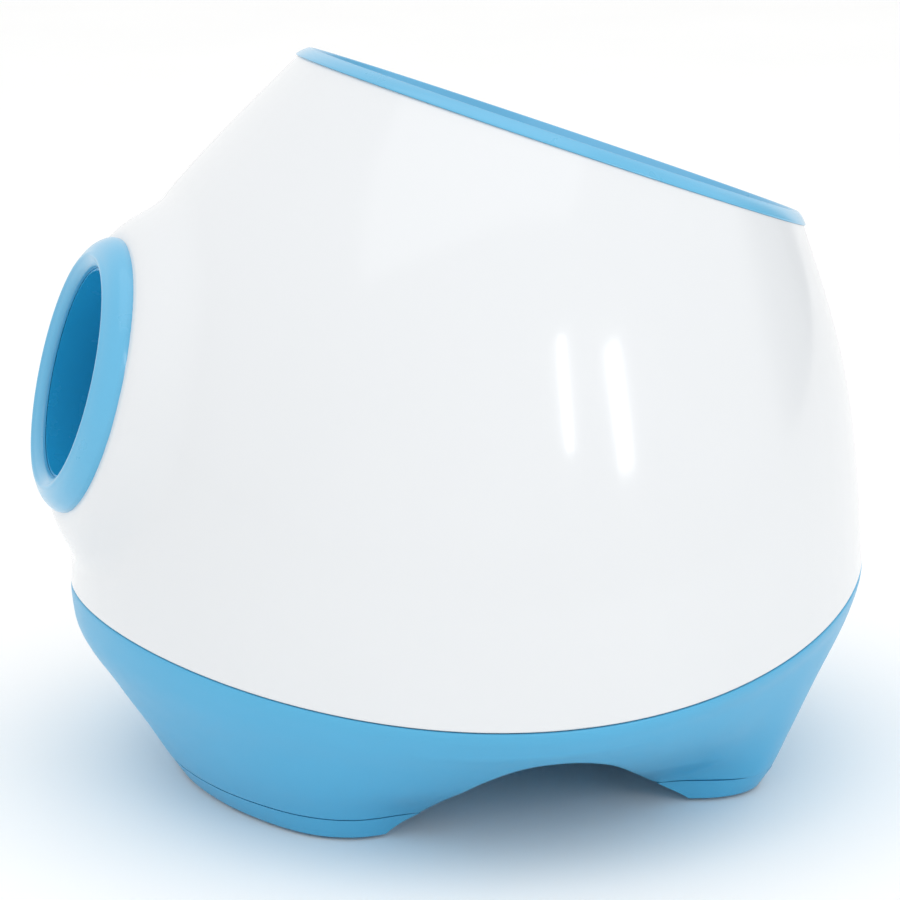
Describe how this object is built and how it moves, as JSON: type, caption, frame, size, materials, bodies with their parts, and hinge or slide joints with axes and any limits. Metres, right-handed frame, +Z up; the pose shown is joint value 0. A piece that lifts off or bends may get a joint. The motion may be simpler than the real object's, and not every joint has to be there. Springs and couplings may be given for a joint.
{
  "type": "automatic dog ball launcher",
  "caption": "Round white and blue ball launcher with a tilted drop-in funnel on top, a raised front barrel, two driven launch wheels, a ball gate and a rear control panel.",
  "frame": {"origin": "on the floor, under the centre of the whole object's bounding box", "axes": "+Z up, -Y is the way the barrel points, X is left to right; the object is symmetric about the YZ plane outside"},
  "size_m": [0.356, 0.3718, 0.3195],
  "materials": {
    "shell_white": "glossy cool white moulded shell",
    "sky_blue": "satin-gloss sky blue moulding",
    "light_blue": "light blue trim moulding",
    "funnel_blue": "smooth deeper blue moulding",
    "barrel_blue": "smooth deep blue tube",
    "grey_plastic": "fine matt engineering plastic",
    "dark_plastic": "fine matt black plastic",
    "natural_plastic": "natural white engineering plastic",
    "rubber_black": "soft black rubber",
    "tyre_grey": "grippy grey wheel rubber",
    "motor_steel": "plated motor can",
    "shaft_steel": "ground steel",
    "screw_steel": "zinc plated steel",
    "board_green": "solder-masked circuit board",
    "battery_wrap": "heat-shrink battery wrap",
    "strap_fabric": "woven strap",
    "lens_clear": "clear tinted lens",
    "button_grey": "smooth pale button"
  },
  "bodies": {
    "body": {"upper_shell": "shell_white", "base_shell": "sky_blue", "front_foot_cover": "sky_blue", "rear_foot_cover": "sky_blue", "battery_door": "sky_blue", "battery_door_screws": "screw_steel", "foot_pads": "rubber_black", "foot_cover_screws": "screw_steel", "top_rim": "light_blue", "funnel_dish": "funnel_blue", "nozzle_ring": "light_blue", "barrel_tube": "barrel_blue", "feed_elbow_left": "dark_plastic", "feed_elbow_right": "dark_plastic", "ball_sensors": "dark_plastic", "gate_bracket": "screw_steel", "gate_motor": "motor_steel", "gate_bracket_screw": "screw_steel", "launcher_lower_plate": "grey_plastic", "launcher_upper_plate": "grey_plastic", "plate_posts": "natural_plastic", "post_screws": "screw_steel", "frame_screws": "screw_steel", "wheel_motor_left": "motor_steel", "wheel_motor_right": "motor_steel", "wheel_bearings": "shaft_steel", "motor_screws": "screw_steel", "main_board": "board_green", "board_standoffs": "natural_plastic", "board_screws": "screw_steel", "board_parts": "dark_plastic", "buzzer": "dark_plastic", "battery_pack": "battery_wrap", "battery_strap": "strap_fabric", "control_panel": "light_blue", "indicator_lenses": "lens_clear", "panel_board": "board_green", "panel_screws": "screw_steel", "tact_switches": "dark_plastic", "charge_jack": "dark_plastic"},
    "wheel_left": {"wheel_shaft_left": "shaft_steel", "wheel_hub_left": "grey_plastic", "wheel_tyre_left": "tyre_grey"},
    "wheel_right": {"wheel_shaft_right": "shaft_steel", "wheel_hub_right": "grey_plastic", "wheel_tyre_right": "tyre_grey"},
    "gate": {"ball_gate": "grey_plastic", "gate_shaft": "shaft_steel", "gate_gear": "natural_plastic"},
    "gate_drive": {"gate_pinion": "natural_plastic"},
    "power_key": {"power_button": "button_grey"},
    "range_key": {"range_button": "button_grey"}
  },
  "joints": [
    {"name": "wheel_left_spin", "type": "hinge", "parent": "body", "child": "wheel_left", "pos_m": [-0.078, -0.04207, 0.15155], "axis": [0, 0.2701, 0.9628], "continuous": true},
    {"name": "wheel_right_spin", "type": "hinge", "parent": "body", "child": "wheel_right", "pos_m": [0.078, -0.04207, 0.15155], "axis": [0, 0.2701, 0.9628], "continuous": true},
    {"name": "gate_swing", "type": "hinge", "parent": "body", "child": "gate", "pos_m": [0, 0.1038, 0.186], "axis": [1, 0, 0], "range_deg": [0, 75]},
    {"name": "gate_drive_spin", "type": "hinge", "parent": "body", "child": "gate_drive", "pos_m": [0.045, 0.1278, 0.186], "axis": [1, 0, 0], "range_deg": [-225, 0]},
    {"name": "power_press", "type": "slide", "parent": "body", "child": "power_key", "axis": [0, -1, 0], "range_m": [0, 0.0012], "stiffness_N_per_m": 400},
    {"name": "range_press", "type": "slide", "parent": "body", "child": "range_key", "axis": [0, -1, 0], "range_m": [0, 0.0012], "stiffness_N_per_m": 400}
  ],
  "couplings": [
    {"joint": "gate_drive_spin", "follows": "gate_swing", "ratio": -3}
  ]
}
